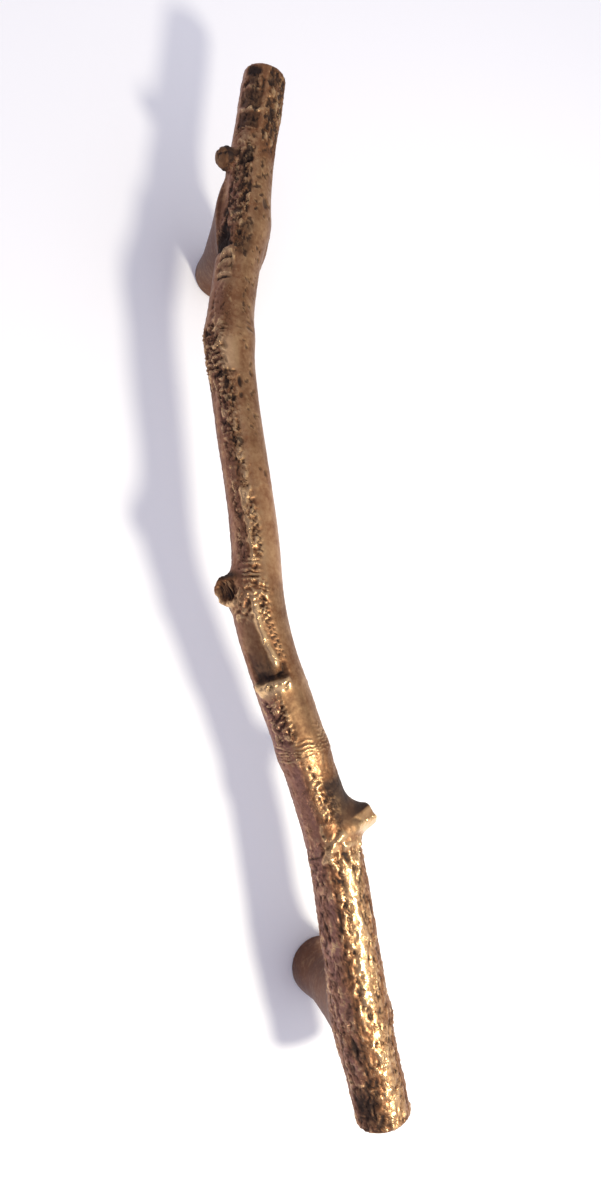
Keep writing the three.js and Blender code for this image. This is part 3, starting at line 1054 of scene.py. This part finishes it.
def post_chart(post, rows, columns):
    """A post, as its grid and how many of its rows are under it: from the bottom of the thread hole
    out over the foot, up the side along level rays, then up to the grip along rays that fan from a
    point on the post's axis."""
    core = THREAD_CORE / 2
    foot = post.sizes["foot"]
    fan_height = POST_FAN_SHARE * post.sizes["rise"]
    hole = [(DRILL_TIP, THREAD_DEPTH + DRILL_POINT), (core, THREAD_DEPTH)]
    hole += [(core, height) for height in np.linspace(THREAD_DEPTH, 0.0, HOLE_ROWS)[1:]]
    hole += [(reach, 0.0) for reach in np.linspace(core, foot - FOOT_EDGE, FOOT_ROWS)[1:]]
    angle = turns(columns)
    level = np.stack([np.sin(angle), -np.cos(angle), np.zeros(angle.shape)], -1)
    axis = np.array([0.0, post.sizes["y"], 0.0])
    up = np.array([0.0, 0.0, 1.0])
    under = np.array([out for out, _ in hole])[:, None, None] * level + axis
    under = under + np.array([height for _, height in hole])[:, None, None] * up
    heights = np.linspace(FOOT_EDGE, fan_height, rows // 2)[:, None]
    climbs = np.radians(np.linspace(0.0, POST_FAN_CLIMB, rows - rows // 2))[1:, None]
    low_origin = axis + heights[..., None] * up + 0.0 * level
    low_direction = np.broadcast_to(level, low_origin.shape)
    high_direction = np.cos(climbs)[..., None] * level + np.sin(climbs)[..., None] * up
    high_origin = np.broadcast_to(axis + fan_height * up, high_direction.shape)
    origin = np.concatenate([low_origin, high_origin])
    direction = np.concatenate([low_direction, high_direction])
    far = first_crossing(origin, direction, POST_REACH)
    return np.concatenate([under, origin + far[..., None] * direction]), len(hole)


# A stub's fan of rays starts at this share of its axis, and opens from just off it to this angle.
STUB_FAN_SHARE = 0.62
STUB_FAN_ANGLES = (128.0, 1.5)


def stub_chart(stub, rows, columns):
    """A stub: rays that fan from a point on its axis, from round its root to its tip's direction."""
    heart = stub.root + STUB_FAN_SHARE * stub.length * stub.axis
    side = np.cross(stub.axis, [0.0, 0.0, 1.0])
    side /= np.linalg.norm(side)
    up = np.cross(side, stub.axis)
    angle = turns(columns)[..., None]
    fan = np.radians(np.linspace(*STUB_FAN_ANGLES, rows))[:, None, None]
    ring = np.sin(angle) * side + np.cos(angle) * up
    direction = np.cos(fan) * stub.axis + np.sin(fan) * ring
    origin = np.broadcast_to(heart, direction.shape)
    widest = stub.outline[0, 1]
    far = first_crossing(origin, direction, 1.25 * widest + 2.0)
    return origin + far[..., None] * direction


# ---- Materials ----------------------------------------------------------------------------------


def linear(hex_colour):
    """An sRGB hex colour as linear red, green, blue and alpha."""
    values = [int(hex_colour[i:i + 2], 16) / 255.0 for i in (1, 3, 5)]
    channels = [v / 12.92 if v <= 0.04045 else ((v + 0.055) / 1.055) ** 2.4 for v in values]
    return (*channels, 1.0)


def add_node(tree, kind, settings, links):
    """Adds a node: settings name its properties and sockets, links feed its sockets."""
    node = tree.nodes.new("ShaderNode" + kind)
    for name, value in settings.items():
        if isinstance(name, str) and hasattr(node, name):
            setattr(node, name, value)
        else:
            node.inputs[name].default_value = value
    for name, output in links.items():
        tree.links.new(output, node.inputs[name])
    return node


def lay_out(tree, steps):
    """Adds nodes in order. A step is the name of its result, the kind of node, its settings, and the
    result that feeds each linked socket; "axes.X" is the output X of the result axes."""
    results = {}
    for result, kind, settings, links in steps:
        fed = {socket: results[source] for socket, source in links.items()}
        node = add_node(tree, kind, settings, fed)
        for output in reversed([each for each in node.outputs if each.enabled]):
            results[result] = results[result + "." + output.name] = output


def emptied(owner):
    """The node tree of a material or world, with no nodes in it."""
    owner.use_nodes = True
    owner.node_tree.nodes.clear()
    return owner.node_tree


def cast_bronze(name, brown, colours, mottle_mm, mottle_share):
    """Sand-cast tin bronze, chemically browned and then rubbed by hand: nearly black brown where the
    patina lies thick and where shade is painted, an even warm brown over it, and gold where the metal
    has been worn bright and where highlights are painted."""
    material = bpy.data.materials.new(name)
    attributes = [
        (label, "Attribute", {"attribute_name": label}, {})
        for label in ("hollow", "rub", "bark", "mauve", "skin")
    ]
    # Crinkles lie half as dense along the grip as round it.
    drawn = [("drawn", "Mapping", {"Scale": (1.0, 1.0, 0.55)}, {"Vector": "skin.Vector"})]
    # Mottle is patches about a fingertip wide, more or less browned, and grain is the mould's sand.
    textures = [
        (
            label, "TexNoise",
            {"Scale": 1.0 / (size_mm * MM), "Detail": detail, "Roughness": 0.6},
            {"Vector": at + ".Vector"},
        )
        for label, size_mm, detail, at in (
            ("mottle", mottle_mm, 4.0, "skin"),
            ("flecks", 2.0, 2.0, "skin"),
            ("crinkle", 1.1, 2.0, "drawn"),
            ("breaks", 3.5, 1.0, "skin"),
            ("grain", 0.45, 2.0, "skin"),
        )
    ]
    scaled = {"operation": "MULTIPLY_ADD"}
    clamped = {"operation": "MULTIPLY_ADD", "use_clamp": True}
    mixed = {"data_type": "RGBA"}
    finish = [
        ("uneven", "Math", {**scaled, 1: mottle_share, 2: -0.5 * mottle_share}, {0: "mottle"}),
        ("fleck", "Math", {**scaled, 1: 0.55, 2: -0.275}, {0: "flecks"}),
        ("uneven", "Math", {"operation": "ADD"}, {0: "uneven", 1: "fleck"}),
        # Thin dark lines where the crinkles' noise crosses its middle value, broken here and there.
        ("line", "Math", {"operation": "SUBTRACT", 1: 0.5}, {0: "crinkle"}),
        ("line", "Math", {"operation": "ABSOLUTE"}, {0: "line"}),
        ("line", "MapRange", {"From Max": 0.055, "To Min": 1.0, "To Max": 0.0}, {"Value": "line"}),
        ("line", "Math", {"operation": "MULTIPLY"}, {0: "line", 1: "bark.Fac"}),
        ("breaks", "MapRange", {"From Min": 0.42, "From Max": 0.58}, {"Value": "breaks"}),
        ("line", "Math", {"operation": "MULTIPLY"}, {0: "line", 1: "breaks"}),
        # Gold goes where the bronze is worn and where highlights are painted.
        ("worn", "Math", {"operation": "ADD", "use_clamp": True}, {0: "rub.Fac", 1: "uneven"}),
        ("worn", "Math", {**clamped, 1: -0.5}, {0: "line", 2: "worn"}),
        ("dark", "Math", {**clamped, 1: -0.3}, {0: "uneven", 2: "hollow.Fac"}),
        ("dark", "Math", {**clamped, 1: 0.4}, {0: "line", 2: "dark"}),
        ("body", "Mix", {**mixed, 6: tuple(brown), 7: tuple(colours.mauve)}, {0: "mauve.Fac"}),
        ("body", "Mix", {**mixed, 7: tuple(colours.gold)}, {0: "worn", 6: "body"}),
        ("colour", "Mix", {**mixed, 7: tuple(colours.patina)}, {0: "dark", 6: "body"}),
        # Worn bronze is the glossiest, and thick patina is dull and only half metal to the eye.
        ("rough", "MapRange", {"To Min": 0.44, "To Max": 0.18}, {"Value": "worn"}),
        ("rough", "Math", {**clamped, 1: 0.35}, {0: "dark", 2: "rough"}),
        ("metal", "MapRange", {"From Min": 0.4, "To Min": 1.0, "To Max": 0.4}, {"Value": "dark"}),
        ("relief", "Math", {"operation": "MULTIPLY", 1: 0.5}, {0: "grain"}),
        ("relief", "Math", {**scaled, 1: -1.0}, {0: "line", 2: "relief"}),
        ("normal", "Bump", {"Strength": 0.8, "Distance": 0.18 * MM}, {"Height": "relief"}),
        (
            "shader", "BsdfPrincipled", {},
            {"Base Color": "colour", "Roughness": "rough", "Metallic": "metal", "Normal": "normal"},
        ),
        ("surface", "OutputMaterial", {}, {"Surface": "shader"}),
    ]
    lay_out(emptied(material), attributes + drawn + textures + finish)
    return material


def painted_board(name, colour):
    """Matt white painted board: even and pale, with no gloss."""
    material = bpy.data.materials.new(name)
    lay_out(emptied(material), [
        ("shader", "BsdfPrincipled", {"Base Color": tuple(colour), "Roughness": 0.9}, {}),
        ("surface", "OutputMaterial", {}, {"Surface": "shader"}),
    ])
    return material


# ---- Settings -----------------------------------------------------------------------------------


def colour_setting(label, description, hex_colour):
    """A colour that a user can change."""
    return bpy.props.FloatVectorProperty(
        name=label, description=description, subtype="COLOR", size=4, min=0.0, max=1.0,
        default=linear(hex_colour),
    )


def length_setting(label, description, millimetres, least):
    """A length that a user can change, given in millimetres and kept in metres."""
    return bpy.props.FloatProperty(
        name=label, description=description, unit="LENGTH", default=millimetres * MM, min=least * MM,
    )


class HandleFinish(bpy.types.PropertyGroup):
    """Colours of the bronze and of the surface under it."""

    patina: colour_setting("Patina", "In the hollows of the bark", "#2a1810")
    brown: colour_setting("Brown", "Browned bark", "#8e6346")
    # The posts' browned bronze, darkened with painted shade.
    dressed: colour_setting("Dressed", "Browned bronze of the posts", "#6f4a36")
    # Mauve is thin reddish patina together with a painted reflection of the lavender surroundings.
    mauve: colour_setting("Mauve", "Thin reddish patina", "#91695e")
    # Gold is rubbed bronze and also painted highlights.
    gold: colour_setting("Gold", "Bronze that hands have rubbed", "#d9b385")
    surface: colour_setting("Surface", "The surface under the handle", "#fbfaff")


class HandleSizes(bpy.types.PropertyGroup):
    """Sizes that can change while the handle still fits its frame."""

    spacing: length_setting("Grip spacing", "Between the points of the grip's skin", 0.62, 0.3)
    growth_spacing: length_setting("Growth spacing", "Between points of the posts and twigs", 0.5, 0.3)
    relief: bpy.props.FloatProperty(
        name="Relief", description="How deep the bark is", subtype="FACTOR",
        default=1.0, min=0.0, max=1.5,
    )


# ---- Operators ----------------------------------------------------------------------------------


def finish_piece(piece, node, material):
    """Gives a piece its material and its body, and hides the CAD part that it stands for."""
    piece.data.materials.append(material)
    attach(piece, "root")
    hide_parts(node)


def growth_grid(sizes):
    """Rows and columns on a post or twig, spaced about as closely both ways."""
    columns = round(GROWTH_GIRTH * MM / sizes.growth_spacing)
    return round(GROWTH_ROWS * columns), columns


class HANDLE_OT_grip(bpy.types.Operator):
    """Makes the grip: the crooked limb with its bark"""

    bl_idname = "handle.grip"
    bl_label = "Grip"

    def execute(self, context):
        sizes = context.scene.handle_sizes
        finish = context.scene.handle_finish
        rows = round(LIMB.length * MM / sizes.spacing)
        columns = round(GRIP_GIRTH * MM / sizes.spacing)
        piece = make_piece("grip_skin", *dress(grip_chart(rows, columns), None, sizes.relief))
        bronze = cast_bronze("patinated_bronze", finish.brown, finish, 9.0, 0.9)
        finish_piece(piece, "grip", bronze)
        return {"FINISHED"}


class HANDLE_OT_posts(bpy.types.Operator):
    """Makes the two round posts with the thread holes in their feet"""

    bl_idname = "handle.posts"
    bl_label = "Posts"

    def execute(self, context):
        sizes = context.scene.handle_sizes
        finish = context.scene.handle_finish
        # The posts' colour carries painted shade.
        bronze = cast_bronze("dressed_bronze_in_shade", finish.dressed, finish, 12.0, 0.4)
        for name in POSTS:
            post = GROWTHS[name]
            chart, under = post_chart(post, *growth_grid(sizes))
            moved, layers = dress(chart, post, sizes.relief)
            moved[:under] = chart[:under]
            piece = make_piece(name + "_skin", moved, layers)
            finish_piece(piece, name, bronze)
        return {"FINISHED"}


class HANDLE_OT_twigs(bpy.types.Operator):
    """Makes the pruned side twig and the two knots"""

    bl_idname = "handle.twigs"
    bl_label = "Pruned twigs"

    def execute(self, context):
        sizes = context.scene.handle_sizes
        bronze = bpy.data.materials["patinated_bronze"]
        for name in STUBS:
            stub = GROWTHS[name]
            chart = stub_chart(stub, *growth_grid(sizes))
            piece = make_piece(name + "_skin", *dress(chart, stub, sizes.relief))
            finish_piece(piece, name, bronze)
        return {"FINISHED"}


def aimed(location, target):
    """The matrix of something at a location that looks at a target."""
    turn = (Vector(target) - Vector(location)).to_track_quat("-Z", "Y").to_matrix().to_4x4()
    return Matrix.Translation(location) @ turn


def at_feet(x, y, z):
    """A place in millimetres from midway between the feet, as metres in the row's frame."""
    return Vector((x * MM, y * MM, z * MM)) + Vector(FEET_MIDDLE)


# Half the surface's width in metres, the lamp's width in metres and its power in watts.
SURFACE_HALF = 20.0
LAMP_WIDTH = 0.10
LAMP_POWER = 4.0
LAMP_PLACE = (164, -340, 576)

# The camera's place in millimetres, its own right and up, and its lens and sensor.
CAMERA_PLACE = (-115.94, 0.87, 420.91)
CAMERA_RIGHT = Vector((0.9433, -0.14589, 0.29818))
CAMERA_UP = Vector((0.13478, 0.9892, 0.05758))
CAMERA_LENS = 25.98
CAMERA_SENSOR = 36.0


class HANDLE_OT_stage(bpy.types.Operator):
    """Makes the pale surface, the soft light and the camera"""

    bl_idname = "handle.stage"
    bl_label = "Stage"

    def execute(self, context):
        scene = context.scene
        mesh = bpy.data.meshes.new("surface")
        half = SURFACE_HALF
        corners = [(-half, -half, 0.0), (half, -half, 0.0), (half, half, 0.0), (-half, half, 0.0)]
        mesh.from_pydata(corners, [], [(0, 1, 2, 3)])
        mesh.materials.append(painted_board("painted_board", scene.handle_finish.surface))
        place("surface", mesh)

        key = bpy.data.lights.new("key", "AREA")
        key.shape = "DISK"
        key.size = LAMP_WIDTH
        key.energy = LAMP_POWER
        key.color = linear("#fffae4")[:3]
        place("key", key).matrix_world = aimed(at_feet(*LAMP_PLACE), at_feet(0, 0, 0))

        scene.world = bpy.data.worlds.new("studio")
        lay_out(emptied(scene.world), [
            ("towards", "TexCoord", {}, {}),
            ("axes", "SeparateXYZ", {}, {"Vector": "towards.Generated"}),
            ("side", "MapRange", {"From Min": -0.6, "From Max": 0.8}, {"Value": "axes.X"}),
            (
                "tint", "Mix",
                {"data_type": "RGBA", 6: linear("#e9e8fe"), 7: linear("#f9f9fa")}, {0: "side"},
            ),
            # Brightest low on the right and towards the thick end.
            *(
                (
                    "along " + axis, "MapRange",
                    {"From Min": near, "From Max": far, "To Min": start, "To Max": stop},
                    {"Value": "axes." + axis},
                )
                for axis, near, far, start, stop in (
                    ("X", -0.8, 0.7, 0.55, 1.25),
                    ("Y", -0.7, 0.7, 1.2, 0.78),
                    ("Z", 0.25, 1.0, 1.02, 0.60),
                )
            ),
            ("level", "Math", {"operation": "MULTIPLY"}, {0: "along X", 1: "along Y"}),
            ("level", "Math", {"operation": "MULTIPLY"}, {0: "level", 1: "along Z"}),
            # A white board above the thin end, which its bark mirrors.
            (
                "board", "VectorMath",
                {"operation": "DOT_PRODUCT", 1: (-0.20, 0.28, 0.94)}, {0: "towards.Generated"},
            ),
            (
                "board", "MapRange",
                {"From Min": 0.90, "From Max": 0.99, "To Max": 0.50}, {"Value": "board"},
            ),
            ("level", "Math", {"operation": "ADD"}, {0: "level", 1: "board"}),
            ("studio", "Background", {}, {"Color": "tint", "Strength": "level"}),
            # The wall that is seen behind the surface is plain and as pale as the surface's far end.
            ("wall", "Background", {"Color": linear("#d7d5e2"), "Strength": 1.0}, {}),
            ("path", "LightPath", {}, {}),
            ("both", "MixShader", {}, {0: "path.Is Camera Ray", 1: "studio", 2: "wall"}),
            ("world", "OutputWorld", {}, {"Surface": "both"}),
        ])
        scene.view_settings.view_transform = "Standard"

        lens = bpy.data.cameras.new("camera")
        lens.sensor_width = CAMERA_SENSOR
        lens.lens = CAMERA_LENS
        axes = Matrix([CAMERA_RIGHT, CAMERA_UP, CAMERA_RIGHT.cross(CAMERA_UP)])
        scene.camera = place("camera", lens)
        turn = axes.transposed().to_4x4()
        scene.camera.matrix_world = Matrix.Translation(at_feet(*CAMERA_PLACE)) @ turn
        return {"FINISHED"}


class HANDLE_PT_panel(bpy.types.Panel):
    """Lists the handle's pieces and settings"""

    bl_idname = "HANDLE_PT_panel"
    bl_label = "Branch Pull Handle"
    bl_space_type = "VIEW_3D"
    bl_region_type = "UI"
    bl_category = "Handle"

    def draw(self, context):
        for operator in OPERATORS:
            self.layout.operator(operator.bl_idname)
        for group in (context.scene.handle_finish, context.scene.handle_sizes):
            for name in group.bl_rna.properties.keys():
                if name not in {"rna_type", "name"}:
                    self.layout.prop(group, name)


OPERATORS = (HANDLE_OT_grip, HANDLE_OT_posts, HANDLE_OT_twigs, HANDLE_OT_stage)
CLASSES = (HandleFinish, HandleSizes, *OPERATORS, HANDLE_PT_panel)


def register():
    """Makes the operators, the panel and the settings known."""
    for each in CLASSES:
        bpy.utils.register_class(each)
    bpy.types.Scene.handle_finish = bpy.props.PointerProperty(type=HandleFinish)
    bpy.types.Scene.handle_sizes = bpy.props.PointerProperty(type=HandleSizes)


def unregister():
    """Takes them away again."""
    del bpy.types.Scene.handle_sizes
    del bpy.types.Scene.handle_finish
    for each in reversed(CLASSES):
        bpy.utils.unregister_class(each)


def main():
    """Makes every piece and the stage."""
    register()
    bpy.ops.handle.grip()
    bpy.ops.handle.posts()
    bpy.ops.handle.twigs()
    bpy.ops.handle.stage()


if __name__ == "__main__":
    main()
